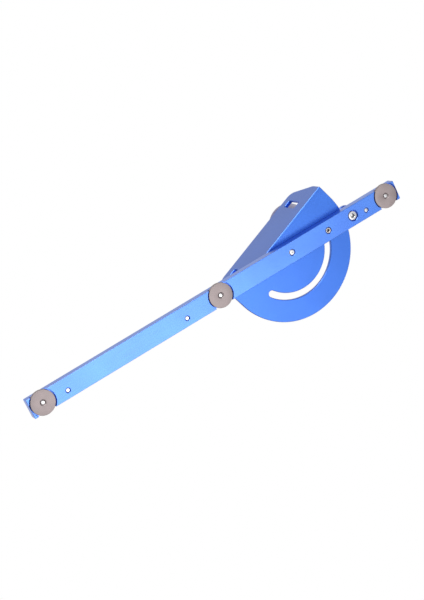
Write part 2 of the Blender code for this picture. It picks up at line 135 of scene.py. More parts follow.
# Protractor head, in its square position: the fence's face looks along +X
STOCK = 3.5 * MM
HEAD_RADIUS = 67.0 * MM
FENCE_FACE_X = 15.9 * MM
FENCE_SHOULDER = 14.0 * MM
FENCE_TOP_HALF = 55.6 * MM
FENCE_CORNER = 9.0 * MM
FENCE_SLOT_Y = 43.0 * MM
FENCE_SLOT_WIDTH = 8.6 * MM
FENCE_SLOT_HEIGHT = 21.0 * MM
FENCE_SLOT_MIDDLE = 27.0 * MM
FENCE_SLOT_CORNER = 1.6 * MM
INNER_FILLET = 1.4 * MM
ARC_SLOT_RADIUS = 42.5 * MM
ARC_SLOT_HALF_WIDTH = 3.3 * MM
ARC_SLOT_REACH = radians(70)
HEAD_BORE = 6.0 * MM
SEAM_DEPTH = 0.6 * MM               # how far the inner fillet reaches into plate and fence
HEAD_EDGE = 0.45 * MM

# Graduations
SCALE_REACH = 70                    # degrees each side of square
SCALE_RADIUS = 59.2 * MM            # outer ends of the marks
MARK_LENGTHS = {10: 5.2 * MM, 5: 4.0 * MM, 1: 2.6 * MM}
MARK_WIDTH = 0.17 * MM
NUMBER_RADIUS = 50.6 * MM
NUMBER_HEIGHT = 3.6 * MM
PAINT_PROUD = 0.04 * MM             # how far the filled marks stand above the plate

# Anodised blue, its two ends of variation, and the other finishes
BLUE = (0.014, 0.174, 0.82)
BLUE_LIGHT = (0.034, 0.238, 0.92)
# The head's blues are the bar's blue darkened: painted shade on the plate and fence.
HEAD_BLUE = (0.006, 0.135, 0.66)
HEAD_BLUE_LIGHT = (0.014, 0.165, 0.76)
LILAC = (0.25, 0.245, 0.47)
LILAC_LIGHT = (0.31, 0.30, 0.54)
STEEL = (0.37, 0.31, 0.312)
STEEL_LIGHT = (0.45, 0.39, 0.39)
ZINC = (0.68, 0.68, 0.70)
ZINC_LIGHT = (0.77, 0.77, 0.78)
OILED = (0.66, 0.61, 0.61)
OILED_LIGHT = (0.75, 0.70, 0.70)
ALUMINIUM = (0.76, 0.76, 0.78)
ALUMINIUM_LIGHT = (0.86, 0.86, 0.88)
BRASS = (0.74, 0.52, 0.22)
BRASS_LIGHT = (0.86, 0.66, 0.34)
BRONZE = (0.50, 0.31, 0.15)
BRONZE_LIGHT = (0.68, 0.46, 0.26)
ENAMEL = (0.88, 0.89, 0.90)
ENAMEL_THIN = (0.62, 0.68, 0.80)
FLOOR_GREY = (0.86, 0.86, 0.87)

# Wear, painted edge highlight, and painted shade in hollows
WEAR_AND_HIGHLIGHT_RADIUS = 0.35 * MM             # how far from an edge the anodising is thin and pale, partly wear and partly a painted highlight
PAINTED_SHADE_REACH = 2.5 * MM                # how narrow a hollow has to be to get painted shade

# Studio: the world's light by height, as shares of its strength, then the floor, lights and camera
WORLD_STRENGTH = 1.35
WORLD_BELOW = 0.58
WORLD_SIDE = 0.32
WORLD_ABOVE = 0.54
FLOOR_HALF = 12.0
FLOOR_DROP = 0.05 * MM
FLOOR_GLOW = 0.16
SOFTBOXES = (                       # name, place, width, height, watts
    ("under_left", (-0.105, -0.43, -1.42), 0.65, 0.8, 4.05),
    ("edge_light", (0.25, 1.3, -0.55), 0.9, 0.5, 7),
    ("key_above", (-0.55, -1.0, 1.25), 0.8, 0.8, 8),
    ("rim_above", (1.3, 0.25, 0.9), 0.5, 0.9, 2.5),
)
CAMERA_PLACE = (0.52472, 0.42024, -1.36144)
CAMERA_TURN = (173.232, 22.976, -152.848)       # degrees about X, Y and Z
CAMERA_LENS = 97.33


def span(node):
    """(centre in X and Y, radius, bottom, top) of a round upright CAD node."""
    low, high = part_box(node)
    middle = (low + high) / 2
    return middle, (high.x - low.x) / 2, low.z, high.z


PLATE_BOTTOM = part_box("protractor_head")[0].z
PLATE_TOP = PLATE_BOTTOM + STOCK
FENCE_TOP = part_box("protractor_head")[1].z
BAR_LOW, BAR_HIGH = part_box("mitre_bar")
CLAMP = span("clamp_stud")[0].xy.to_3d()
POINTER = span("pointer_cap_screw")[0].xy.to_3d()
FENCE_NORMAL = next(m["axis"] for m in frame["record"]["mounts"] if m["name"] == "fence_face")
HEAD_ANGLE = atan2(FENCE_NORMAL[1], FENCE_NORMAL[0])
HEAD_TURN = Matrix.Rotation(HEAD_ANGLE, 4, "Z")


# ---------------------------------------------------------------- outlines

def arc(centre, radius, start, end, steps):
    """Points on an arc, both ends included."""
    angles = [start + (end - start) * i / steps for i in range(steps + 1)]
    return [(centre[0] + radius * cos(a), centre[1] + radius * sin(a)) for a in angles]


def rounded(corners, radii, steps=8):
    """The outline of a polygon, each corner replaced by an arc of its own radius."""
    outline = []
    for i, (x, y) in enumerate(corners):
        if not radii[i]:
            outline.append((x, y))
            continue
        back = Vector(corners[i - 1]) - Vector((x, y))
        ahead = Vector(corners[(i + 1) % len(corners)]) - Vector((x, y))
        u, v = back.normalized(), ahead.normalized()
        cosine = (u + v).length / 2                     # of half the corner's angle
        sine = (1 - cosine * cosine) ** 0.5
        reach = radii[i] * cosine / sine
        first, last = Vector((x, y)) + u * reach, Vector((x, y)) + v * reach
        for k in range(steps + 1):
            t = k / steps
            a, b, w = (1 - t) ** 2, t ** 2, 2 * t * (1 - t) * sine
            point = (first * a + Vector((x, y)) * w + last * b) / (a + b + w)
            outline.append(tuple(point))
    return outline


def circle(radius, steps):
    """A full circle round the origin, its first point not repeated."""
    return arc((0, 0), radius, 0, 2 * pi, steps)[:-1]


def area(loop):
    """Positive when the loop runs anticlockwise."""
    return sum(x0 * y1 - x1 * y0 for (x0, y0), (x1, y1) in zip(loop, loop[1:] + loop[:1])) / 2


def inset(loop, distance):
    """The loop moved to its left by the distance, corners mitred."""
    moved = []
    for i, point in enumerate(loop):
        here = Vector(point)
        u = (here - Vector(loop[i - 1])).normalized()
        v = (Vector(loop[(i + 1) % len(loop)]) - here).normalized()
        normal = Vector((-u.y - v.y, u.x + v.x)).normalized()
        moved.append(tuple(here + normal * distance / max(0.3, normal.dot(Vector((-v.y, v.x))))))
    return moved


# ---------------------------------------------------------------- meshes

def to_mesh(cage, name):
    """The bmesh as a mesh, with its faces turned outwards."""
    bmesh.ops.recalc_face_normals(cage, faces=cage.faces)
    mesh = bpy.data.meshes.new(name)
    cage.to_mesh(mesh)
    cage.free()
    return mesh


def slab(name, outer, holes, bottom, top, edge, matrix=None):
    """A flat plate with holes, every rim chamfered by edge, on both faces."""
    loops = [outer if area(outer) > 0 else outer[::-1]]
    loops += [hole if area(hole) < 0 else hole[::-1] for hole in holes]
    cage = bmesh.new()
    caps = ([], [])
    for loop in loops:
        shrunk = inset(loop, edge)
        levels = [(shrunk, bottom), (loop, bottom + edge), (loop, top - edge), (shrunk, top)]
        rows = [[cage.verts.new((x, y, z)) for x, y in points] for points, z in levels]
        for row, above in zip(rows, rows[1:]):
            for k in range(len(row)):
                j = (k + 1) % len(row)
                cage.faces.new((row[k], row[j], above[j], above[k]))
        for cap, row in zip(caps, (rows[0], rows[-1])):
            cap += [cage.edges.get((row[k], row[(k + 1) % len(row)])) for k in range(len(row))]
    for cap in caps:
        bmesh.ops.triangle_fill(cage, use_beauty=True, edges=cap)
    if matrix:
        bmesh.ops.transform(cage, verts=cage.verts, matrix=matrix)
    return to_mesh(cage, name)


def revolve(name, section, steps=ROUND_STEPS):
    """A closed (radius, z) section turned about Z. A point on the axis becomes one vertex."""
    cage = bmesh.new()
    turns = [2 * pi * k / steps for k in range(steps)]
    rings = []
    for r, z in section:
        on_axis = r < 1e-7
        angles = [0] if on_axis else turns
        rings.append([cage.verts.new((r * cos(a), r * sin(a), z)) for a in angles])
    for ring, after in zip(rings, rings[1:] + rings[:1]):
        if len(ring) == 1 and len(after) == 1:
            continue
        for k in range(steps):
            j = (k + 1) % steps
            near, far = len(ring), len(after)
            corners = [ring[k % near], ring[j % near], after[j % far], after[k % far]]
            cage.faces.new(list(dict.fromkeys(corners)))
    return to_mesh(cage, name)


def ring_section(inner, outer, bottom, top, edge):
    """A washer's (radius, z) section with all four corners rounded by edge."""
    return rounded([(inner, bottom), (outer, bottom), (outer, top), (inner, top)], [edge] * 4, 3)


def pin_section(corners, radii):
    """A solid turned piece: (radius, z) corners from the bottom up, and the rounding of each."""
    low, high = corners[0][1], corners[-1][1]
    return rounded([(0, low)] + corners + [(0, high)], [0] + radii + [0], 3)


def hexagon_mesh(name, radius, bottom, top):
    """An upright hexagonal prism. radius is to its corners."""
    cage = bmesh.new()
    bmesh.ops.create_cone(cage, cap_ends=True, segments=6, radius1=radius, radius2=radius,
                          depth=top - bottom)
    bmesh.ops.translate(cage, verts=cage.verts, vec=(0, 0, (top + bottom) / 2))
    return to_mesh(cage, name)


def thing(name, mesh, location=(0, 0, 0)):
    """A new object in the scene."""
    made = bpy.data.objects.new(name, mesh)
    bpy.context.scene.collection.objects.link(made)
    made.matrix_world = Matrix.Translation(location)
    return made


def carve(made, tools, operation="DIFFERENCE"):
    """Cuts with each tool in turn, or joins or intersects with them, then removes the tools."""
    for tool in tools:
        boolean = made.modifiers.new(tool.name, "BOOLEAN")
        boolean.operation = operation
        boolean.solver = "EXACT"
        boolean.object = tool
    bpy.context.view_layer.update()
    graph = bpy.context.evaluated_depsgraph_get()
    mesh = bpy.data.meshes.new_from_object(made.evaluated_get(graph))
    made.modifiers.clear()
    made.data = mesh
    for tool in tools:
        bpy.data.objects.remove(tool)


def socket_cutters(socket, mouth, way, location):
    """Cutters for a hexagonal socket: its prism, a conical lead-in and the drill point at its end.
    way is 1 where the mouth looks up and -1 where it looks down."""
    across_flats, depth = socket
    radius = across_flats / 2 / cos(pi / 6)
    floor, out, step = mouth - way * depth, mouth + way * PAST, way * SOCKET_FLARE
    prism = thing("socket", hexagon_mesh("socket", radius, min(floor, out), max(floor, out)), location)
    wide = radius + SOCKET_FLARE * 0.6
    cone = [(0, mouth - step), (wide - SOCKET_FLARE, mouth - step), (wide, mouth), (wide, out), (0, out)]
    lead_in = thing("lead_in", revolve("lead_in", cone, 48), location)
    drill = across_flats / 2 * DRILL_SHARE
    point = [(0, floor - way * drill * DRILL_SLOPE), (drill, floor), (drill, floor + step), (0, floor + step)]
    return [prism, lead_in, thing("drill_point", revolve("drill_point", point, 48), location)]


def piece(made, body, slot, finish, *nodes):
    """Shades the object, gives it its finish, parents it to its body's empty and hides the CAD nodes it
    replaces.
    """
    made.data.shade_smooth()
    made.data.set_sharp_from_angle(angle=CREASE)
    made.data.materials.clear()
    made.data.materials.append(finish)
    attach(made, body)
    if nodes:
        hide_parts(*nodes)


# ---------------------------------------------------------------- materials

def new_node(tree, kind, **values):
    """Adds a node. A value named in_... sets an input, and any other sets a property."""
    made = tree.nodes.new(kind)
    for key, value in values.items():
        if key.startswith("in_"):
            made.inputs[key[3:].replace("_", " ").title()].default_value = value
        else:
            setattr(made, key, value)
    return made


def start_finish(name, metallic, rough, coat=0.0, coat_ior=1.6, anisotropic=0.0):
    """A material, its node tree and its shader with the constants set."""
    made = bpy.data.materials.new(name)
    made.use_nodes = True
    shader = made.node_tree.nodes["Principled BSDF"]
    shader.inputs["Metallic"].default_value = metallic
    shader.inputs["Roughness"].default_value = rough
    shader.inputs["Coat Weight"].default_value = coat
    shader.inputs["Coat Roughness"].default_value = 0.3
    shader.inputs["Coat IOR"].default_value = coat_ior
    shader.inputs["Anisotropic"].default_value = anisotropic
    return made, made.node_tree, shader


def noise(tree, scale, detail=3.0, stretch=(1, 1, 1), turn=0.0):
    """Noise in the piece's own coordinates. scale is in waves per metre.
    stretch draws it out along an axis, and turn is that axis's angle in plan."""
    place = new_node(tree, "ShaderNodeTexCoord")
    mapping = new_node(tree, "ShaderNodeMapping", vector_type="TEXTURE")
    mapping.inputs["Rotation"].default_value = (0, 0, turn)
    mapping.inputs["Scale"].default_value = stretch
    made = new_node(tree, "ShaderNodeTexNoise", in_scale=scale, in_detail=detail)
    tree.links.new(place.outputs["Object"], mapping.inputs["Vector"])
    tree.links.new(mapping.outputs["Vector"], made.inputs["Vector"])
    return made.outputs["Fac"]


def remap(tree, value, low, high, to_low, to_high):
    """The value's range low..high stretched over to_low..to_high and clamped there."""
    made = new_node(tree, "ShaderNodeMapRange")
    for key, number in (("From Min", low), ("From Max", high), ("To Min", to_low), ("To Max", to_high)):
        made.inputs[key].default_value = number
    tree.links.new(value, made.inputs["Value"])
    return made.outputs["Result"]


def blend_colour(tree, factor, first, second):
    """first where the factor is 0 and second where it is 1. Each is a colour or a node's output."""
    made = new_node(tree, "ShaderNodeMix", data_type="RGBA")
    tree.links.new(factor, made.inputs["Factor"])
    for socket, colour in ((made.inputs[6], first), (made.inputs[7], second)):
        if isinstance(colour, tuple):
            socket.default_value = (*colour, 1)
        else:
            tree.links.new(colour, socket)
    return made.outputs[2]


def product(tree, first, second):
    made = new_node(tree, "ShaderNodeMath", operation="MULTIPLY")
    tree.links.new(first, made.inputs[0])
    tree.links.new(second, made.inputs[1])
    return made.outputs[0]


def bump(tree, shader, height, depth, strength):
    """Drives the shader's normal from a height of 0 to 1, depth metres tall."""
    made = new_node(tree, "ShaderNodeBump", in_strength=strength, in_distance=depth)
    tree.links.new(height, made.inputs["Height"])
    tree.links.new(made.outputs["Normal"], shader.inputs["Normal"])


def worn_edges(tree, radius):
    """1 along the edges, where both wear and a painted highlight go, 0 elsewhere: the softened normal leaves
    the true one near an edge.
    """
    soft = new_node(tree, "ShaderNodeBevel", samples=4, in_radius=radius)
    true = new_node(tree, "ShaderNodeNewGeometry")
    dot = new_node(tree, "ShaderNodeVectorMath", operation="DOT_PRODUCT")
    tree.links.new(soft.outputs["Normal"], dot.inputs[0])
    tree.links.new(true.outputs["Normal"], dot.inputs[1])
    near = remap(tree, dot.outputs["Value"], 0.80, 0.97, 1, 0)
    patchy = remap(tree, noise(tree, 420, 4), 0.38, 0.62, 0.15, 1)
    return product(tree, near, patchy)


def anodised(name, colour, light, rough, coat_ior, stretch, turn=0.0):
    """Dyed aluminium: etched grain, faint draw lines along the stock, and pale edges that are partly wear and
    partly a painted highlight.
    """
    made, tree, shader = start_finish(name, 1.0, rough, coat=1.0, coat_ior=coat_ior)
    clouds = remap(tree, noise(tree, 26, 2), 0.3, 0.7, 0, 1)
    lines = noise(tree, 1500, 3, stretch, turn)
    grain = noise(tree, 3800, 2)
    tone = blend_colour(tree, product(tree, clouds, remap(tree, lines, 0.3, 0.7, 0.35, 1)), colour, light)
    # The pale edge colour is partly bare metal where the anodising wears and partly a painted edge highlight.
    bare_and_highlit = tuple(0.45 * c + 0.5 for c in light)
    wear_and_highlight = product(tree, worn_edges(tree, WEAR_AND_HIGHLIGHT_RADIUS), remap(tree, lines, 0.2, 0.6, 0.08, 0.26))
    tree.links.new(blend_colour(tree, wear_and_highlight, tone, bare_and_highlit), shader.inputs["Base Color"])
    satin = product(tree, remap(tree, lines, 0.3, 0.7, 0.5, 1), remap(tree, grain, 0.3, 0.7, 0.5, 1))
    tree.links.new(remap(tree, satin, 0.25, 1, rough - 0.08, rough + 0.10), shader.inputs["Roughness"])
    bump(tree, shader, grain, 0.012 * MM, 0.4)
    return made


def turned_metal(name, colour, light, rough, pitch):
    """Lathe-turned metal: fine rings about the piece's own axis, with a faint stain."""
    made, tree, shader = start_finish(name, 1.0, rough, anisotropic=0.35)
    place = new_node(tree, "ShaderNodeTexCoord")
    wave = new_node(tree, "ShaderNodeTexWave", wave_type="RINGS", rings_direction="Z",
                    in_scale=2 * pi / 20 / pitch, in_distortion=1.2, in_detail=2.0)
    wave.inputs["Detail Scale"].default_value = 0.35
    tree.links.new(place.outputs["Object"], wave.inputs["Vector"])
    stain = remap(tree, noise(tree, 130, 3), 0.35, 0.65, 0, 1)
    rings = remap(tree, wave.outputs["Fac"], 0, 1, 0.5, 1)
    tone = blend_colour(tree, product(tree, stain, rings), colour, light)
    tree.links.new(tone, shader.inputs["Base Color"])
    tree.links.new(remap(tree, stain, 0, 1, rough - 0.04, rough + 0.05), shader.inputs["Roughness"])
    tangent = new_node(tree, "ShaderNodeTangent", direction_type="RADIAL", axis="Z")
    tree.links.new(tangent.outputs["Tangent"], shader.inputs["Tangent"])
    bump(tree, shader, wave.outputs["Fac"], 0.006 * MM, 0.5)
    return made


def plated(name, colour, light, rough):
    """Plated steel: fine speckle, and painted shade darkening the sockets and thread roots."""
    made, tree, shader = start_finish(name, 1.0, rough)
    speckle = remap(tree, noise(tree, 1700, 4), 0.3, 0.7, 0, 1)
    # Painted shade: the colour darkens where ambient occlusion finds a narrow hollow.
    hollow = new_node(tree, "ShaderNodeAmbientOcclusion", samples=8, only_local=True)
    hollow.inputs["Distance"].default_value = PAINTED_SHADE_REACH
    unshaded = remap(tree, hollow.outputs["AO"], 0.25, 0.75, 0, 1)
    tone = blend_colour(tree, speckle, colour, light)
    painted_shade = tuple(0.22 * c for c in colour)
    tree.links.new(blend_colour(tree, unshaded, painted_shade, tone), shader.inputs["Base Color"])
    tree.links.new(remap(tree, noise(tree, 600, 3), 0.3, 0.7, rough - 0.06, rough + 0.08),
                   shader.inputs["Roughness"])
    bump(tree, shader, speckle, 0.004 * MM, 0.4)
    return made


def sintered(name, colour, light, rough):
    """Oiled sintered bronze: open pores between the grains."""
    made, tree, shader = start_finish(name, 1.0, rough)
    place = new_node(tree, "ShaderNodeTexCoord")
    cells = new_node(tree, "ShaderNodeTexVoronoi", in_scale=5200)
    tree.links.new(place.outputs["Object"], cells.inputs["Vector"])
    tree.links.new(blend_colour(tree, cells.outputs["Distance"], light, colour), shader.inputs["Base Color"])
    patches = noise(tree, 900)
    tree.links.new(remap(tree, patches, 0.3, 0.7, rough - 0.08, rough + 0.1), shader.inputs["Roughness"])
    bump(tree, shader, cells.outputs["Distance"], 0.01 * MM, 0.5)
    return made


def filled_paint(name):
    """White enamel in the engraved marks, thin in places."""
    made, tree, shader = start_finish(name, 0.0, 0.5)
    thin = remap(tree, noise(tree, 900, 4), 0.35, 0.6, 0, 1)
    tone = blend_colour(tree, thin, ENAMEL_THIN, ENAMEL)
    tree.links.new(tone, shader.inputs["Base Color"])
    tree.links.new(remap(tree, thin, 0, 1, 0.6, 0.42), shader.inputs["Roughness"])
    return made


blue_bar = anodised("blue_anodised_bar", BLUE, BLUE_LIGHT, 0.36, 1.9, (50, 1, 1))
blue_head = anodised("blue_anodised_head", HEAD_BLUE, HEAD_BLUE_LIGHT, 0.38, 1.64, (1, 50, 1), HEAD_ANGLE)
lilac_knob = anodised("lilac_anodised_handle", LILAC, LILAC_LIGHT, 0.36, 1.5, (1, 1, 20))
disc_steel = turned_metal("turned_disc_steel", STEEL, STEEL_LIGHT, 0.5, 0.32 * MM)
washer_steel = turned_metal("turned_washer_steel", STEEL, STEEL_LIGHT, 0.36, 0.22 * MM)
spacer_metal = turned_metal("turned_spacer_aluminium", ALUMINIUM, ALUMINIUM_LIGHT, 0.34, 0.2 * MM)
insert_metal = turned_metal("turned_insert_brass", BRASS, BRASS_LIGHT, 0.32, 0.2 * MM)
bright = plated("zinc_plated", ZINC, ZINC_LIGHT, 0.27)
oiled_steel = plated("oiled_steel", OILED, OILED_LIGHT, 0.34)
bush_metal = sintered("sintered_bronze", BRONZE, BRONZE_LIGHT, 0.42)
white_marks = filled_paint("white_enamel")


# ---------------------------------------------------------------- bar and what it carries

def flared_hole(radius, x, y=0.0):
    """A through hole's cutter, flared at both faces of the bar."""
    low, high = BAR_LOW.z, BAR_HIGH.z
    wide = radius + RIM_EDGE
    section = [(0, low - PAST), (wide, low - PAST), (wide, low), (radius, low + RIM_EDGE),
               (radius, high - RIM_EDGE), (wide, high), (wide, high + PAST), (0, high + PAST)]
    return thing("hole", revolve("hole", section, HOLE_STEPS), (x, y, 0))


def blind_hole(radius, depth, x, from_top=False, flare=RIM_EDGE, steps=ROUND_STEPS):
    """A flat-bottomed pocket's cutter, flared at its mouth."""
    face, way = (BAR_HIGH.z, 1) if from_top else (BAR_LOW.z, -1)
    wide = radius + flare
    section = [(0, face - way * depth), (radius, face - way * depth), (radius, face - way * flare),
               (wide, face), (wide, face + way * PAST), (0, face + way * PAST)]
    return thing("pocket", revolve("pocket", section, steps), (x, 0, 0))


def make_bar():
    """The guide bar, pocketed for the discs and drilled for every screw."""
    x0, x1, y0, y1 = BAR_LOW.x, BAR_HIGH.x, BAR_LOW.y, BAR_HIGH.y
    corners = [(x0, y0), (x1, y0), (x1, y1), (x0, y1)]
    outline = rounded(corners, [2 * BAR_EDGE] * 4, 4)
    bar = thing("mitre_bar_body", slab("mitre_bar_body", outline, [], BAR_LOW.z, BAR_HIGH.z, BAR_EDGE))
    tools = []
    for place in PLACES:
        middle, radius, bottom, top = span("t_slot_disc_" + place)
        depth = top - bottom + DISC_POCKET_FLOOR_GAP
        tools.append(blind_hole(radius + DISC_POCKET_GAP, depth, middle.x, flare=DISC_POCKET_EDGE))
        middle, radius, bottom, top = span("disc_screw_" + place)
        tools.append(flared_hole(M4_RADIUS + GAP, middle.x))
        depth = BAR_HIGH.z - top + DISC_SCREW_SINK
        tools.append(blind_hole(radius + GAP, depth, middle.x, from_top=True, steps=HOLE_STEPS))
        middle, radius, bottom, top = span("fit_screw_" + place)
        tools.append(flared_hole(radius + THREAD_GAP, middle.x, middle.y))
    tools.append(flared_hole(M6_RADIUS + THREAD_GAP, 0))
    tools.append(flared_hole(M6_RADIUS + THREAD_GAP, CLAMP.x))
    tools.append(flared_hole(M5_RADIUS + GAP, POINTER.x))
    tools.append(blind_hole(COUNTERBORE_RADIUS, COUNTERBORE_DEPTH, POINTER.x, flare=COUNTERBORE_EDGE))
    carve(bar, tools)
    piece(bar, "bar", "blue_anodised", blue_bar, "mitre_bar")


def make_disc(place):
    """A turned disc with rolled edges and a countersunk hole."""
    middle, radius, bottom, top = span("t_slot_disc_" + place)
    hole = M4_RADIUS + 0.2 * MM
    corners = [(hole, bottom + SINK_DEPTH), (SINK_RADIUS, bottom), (radius, bottom), (radius, top),
               (hole, top)]
    section = rounded(corners, [0.1 * MM, 0.12 * MM, 0.4 * MM, 0.3 * MM, 0.1 * MM], 4)
    disc = thing("t_slot_disc_" + place + "_turned", revolve("t_slot_disc_" + place, section, 128),
                 (middle.x, middle.y, 0))
    piece(disc, "bar", "turned_steel", disc_steel, "t_slot_disc_" + place)


def make_disc_screw(place):
    """A low-head socket screw whose end shows in the disc's countersink."""
    middle, radius, bottom, top = span("disc_screw_" + place)
    at = (middle.x, middle.y, 0)
    head_bottom = top - DISC_SCREW_HEAD
    corners = [(M4_RADIUS - 0.5 * MM, bottom), (M4_RADIUS, bottom + 0.6 * MM), (M4_RADIUS, head_bottom),
               (radius, head_bottom), (radius, top)]
    section = pin_section(corners, [0.1 * MM, 0.1 * MM, 0, 0.1 * MM, 0.4 * MM])
    mesh = revolve("disc_screw_" + place, section, HOLE_STEPS)
    screw = thing("disc_screw_" + place + "_socket_head", mesh, at)
    carve(screw, socket_cutters(DISC_SCREW_SOCKET, top, 1, at))
    piece(screw, "bar", "bright_fasteners", bright, "disc_screw_" + place)


def make_fit_screw(place):
    """A socket set screw: flat point below, hexagonal socket above."""
    middle, radius, bottom, top = span("fit_screw_" + place)
    at = (middle.x, middle.y, 0)
    corners = [(radius - 0.75 * MM, bottom), (radius, bottom + 0.7 * MM), (radius, top)]
    section = pin_section(corners, [0.08 * MM, 0.1 * MM, 0.3 * MM])
    screw = thing("fit_screw_" + place + "_set", revolve("fit_screw_" + place, section, HOLE_STEPS), at)
    carve(screw, socket_cutters(FIT_SCREW_SOCKET, top, 1, at))
    piece(screw, "bar", "bright_fasteners", bright, "fit_screw_" + place)


# ---------------------------------------------------------------- head

def arc_slot_outline():
    """The curved slot with its two round ends, about the pivot."""
    start, end = pi - ARC_SLOT_REACH, pi + ARC_SLOT_REACH
    first = (ARC_SLOT_RADIUS * cos(start), ARC_SLOT_RADIUS * sin(start))
    last = (ARC_SLOT_RADIUS * cos(end), ARC_SLOT_RADIUS * sin(end))
    outer = arc((0, 0), ARC_SLOT_RADIUS + ARC_SLOT_HALF_WIDTH, start, end, 96)
    inner = arc((0, 0), ARC_SLOT_RADIUS - ARC_SLOT_HALF_WIDTH, end, start, 96)
    far_end = arc(last, ARC_SLOT_HALF_WIDTH, end, end + pi, 24)[1:-1]
    near_end = arc(first, ARC_SLOT_HALF_WIDTH, start + pi, start + 2 * pi, 24)[1:-1]
    return outer + far_end + inner + near_end


def fence_outline(height):
    """The fence seen square on: sloping ends and rounded corners, across and upwards."""
    right = [(HEAD_RADIUS, 0), (HEAD_RADIUS, FENCE_SHOULDER), (FENCE_TOP_HALF, height)]
    left = [(-y, z) for y, z in reversed(right)]
    corner = 2 * HEAD_EDGE
    return rounded(right + left, [corner] + [FENCE_CORNER] * 4 + [corner], 14)


def make_head():
    """The protractor plate and its fence, one piece of angle stock."""
    seam = FENCE_FACE_X - STOCK / 2                     # the plate ends inside the fence's thickness
    rim = arc((0, 0), HEAD_RADIUS, pi / 2, 3 * pi / 2, 144)
    outline = [(seam, HEAD_RADIUS)] + rim + [(seam, -HEAD_RADIUS)]
    holes = [arc_slot_outline(), circle(HEAD_BORE, ROUND_STEPS)]
    plate = slab("protractor_head_plate", outline, holes, PLATE_BOTTOM, PLATE_TOP, HEAD_EDGE)
    head = thing("protractor_head_plate", plate)
    stand = Matrix(((0, 0, 1, FENCE_FACE_X - STOCK), (1, 0, 0, 0), (0, 1, 0, PLATE_BOTTOM), (0, 0, 0, 1)))
    low, high = FENCE_SLOT_MIDDLE - FENCE_SLOT_HEIGHT / 2, FENCE_SLOT_MIDDLE + FENCE_SLOT_HEIGHT / 2
    windows = []
    for y in (-FENCE_SLOT_Y, FENCE_SLOT_Y):
        left, right = y - FENCE_SLOT_WIDTH / 2, y + FENCE_SLOT_WIDTH / 2
        box = [(left, low), (right, low), (right, high), (left, high)]
        windows.append(rounded(box, [FENCE_SLOT_CORNER] * 4))
    fence = thing("fence", slab("fence", fence_outline(FENCE_TOP - PLATE_BOTTOM), windows, 0, STOCK,
                                HEAD_EDGE, stand))
    x, z = FENCE_FACE_X - STOCK, PLATE_TOP
    hollow = arc((x - INNER_FILLET, z + INNER_FILLET), INNER_FILLET, 0, -pi / 2, 8)
    section = hollow + [(x - INNER_FILLET, z - SEAM_DEPTH), (x + SEAM_DEPTH, z - SEAM_DEPTH),
                        (x + SEAM_DEPTH, z + INNER_FILLET)]
    along = Matrix(((1, 0, 0, 0), (0, 0, 1, -HEAD_RADIUS + HEAD_EDGE), (0, 1, 0, 0), (0, 0, 0, 1)))
    fillet = thing("fillet", slab("fillet", section, [], 0, 2 * (HEAD_RADIUS - HEAD_EDGE), 0.02 * MM, along))
    carve(head, [fence, fillet], "UNION")
    head.data.transform(HEAD_TURN)
    piece(head, "head", "blue_anodised", blue_head, "protractor_head")


def add_box(cage, size, matrix):
    """A box of the given size about the matrix's origin."""
    bmesh.ops.create_cube(cage, size=1, matrix=matrix @ Matrix.Diagonal((*size, 1)))


def make_scale():
    """Degree marks with a number every ten degrees, filled with white."""
    cage = bmesh.new()
    middle_z = PLATE_TOP + PAINT_PROUD / 2
    for degree in range(-SCALE_REACH, SCALE_REACH + 1):
        length = next(MARK_LENGTHS[n] for n in (10, 5, 1) if degree % n == 0)
        width = MARK_WIDTH * (1.5 if degree % 10 == 0 else 1)
        turn = Matrix.Rotation(pi + radians(degree), 4, "Z")
        place = turn @ Matrix.Translation((SCALE_RADIUS - length / 2, 0, middle_z))
        add_box(cage, (length, width, PAINT_PROUD), place)
    for degree in range(-SCALE_REACH, SCALE_REACH + 1, 10):
        letters = bpy.data.curves.new("number", "FONT")
        letters.body = str(abs(degree))
        letters.size = NUMBER_HEIGHT
        letters.align_x = "CENTER"
        letters.align_y = "CENTER"
        letters.extrude = PAINT_PROUD / 2
        text = bpy.data.objects.new("number", letters)
        bpy.context.scene.collection.objects.link(text)
        bpy.context.view_layer.update()
        graph = bpy.context.evaluated_depsgraph_get()
        mesh = bpy.data.meshes.new_from_object(text.evaluated_get(graph))
        turn = Matrix.Rotation(pi + radians(degree), 4, "Z")
        place = Matrix.Translation((NUMBER_RADIUS, 0, middle_z))
        mesh.transform(turn @ place @ Matrix.Rotation(pi / 2, 4, "Z"))
        cage.from_mesh(mesh)
        bpy.data.objects.remove(text)
    bmesh.ops.transform(cage, verts=cage.verts, matrix=HEAD_TURN)
    scale = thing("protractor_scale", to_mesh(cage, "protractor_scale"))
    piece(scale, "head", "blue_anodised", white_marks)


# ---------------------------------------------------------------- pivot and clamp

def make_pivot():
    """The washer and the shoulder screw the head turns on."""
    radius, bottom, top = span("pivot_washer")[1:]
    section = ring_section(PIVOT_WASHER_BORE, radius, bottom, top, 0.2 * MM)
    washer = thing("pivot_washer_turned", revolve("pivot_washer", section))
    piece(washer, "bar", "turned_steel", washer_steel, "pivot_washer")
    radius, bottom, top = span("pivot_shoulder_screw")[1:]
    head_bottom = top - PIVOT_HEAD
    corners = [(M6_RADIUS - 1.0 * MM, bottom), (M6_RADIUS, bottom + 0.8 * MM), (M6_RADIUS, PLATE_BOTTOM),
               (PIVOT_SHOULDER, PLATE_BOTTOM), (PIVOT_SHOULDER, head_bottom), (radius, head_bottom),
               (radius, top)]
    section = pin_section(corners, [0.15 * MM, 0.1 * MM, 0, 0.1 * MM, 0, 0.2 * MM, 1.1 * MM])
    screw = thing("pivot_shoulder_screw_button_head", revolve("pivot_shoulder_screw", section))
    dimple = [(0, bottom + PIVOT_DIMPLE), (PIVOT_DIMPLE, bottom), (PIVOT_DIMPLE, bottom - PAST),
              (0, bottom - PAST)]
    tools = socket_cutters(PIVOT_SOCKET, top, 1, (0, 0, 0))
    carve(screw, tools + [thing("dimple", revolve("dimple", dimple, 48))])
    piece(screw, "bar", "bright_fasteners", bright, "pivot_shoulder_screw")


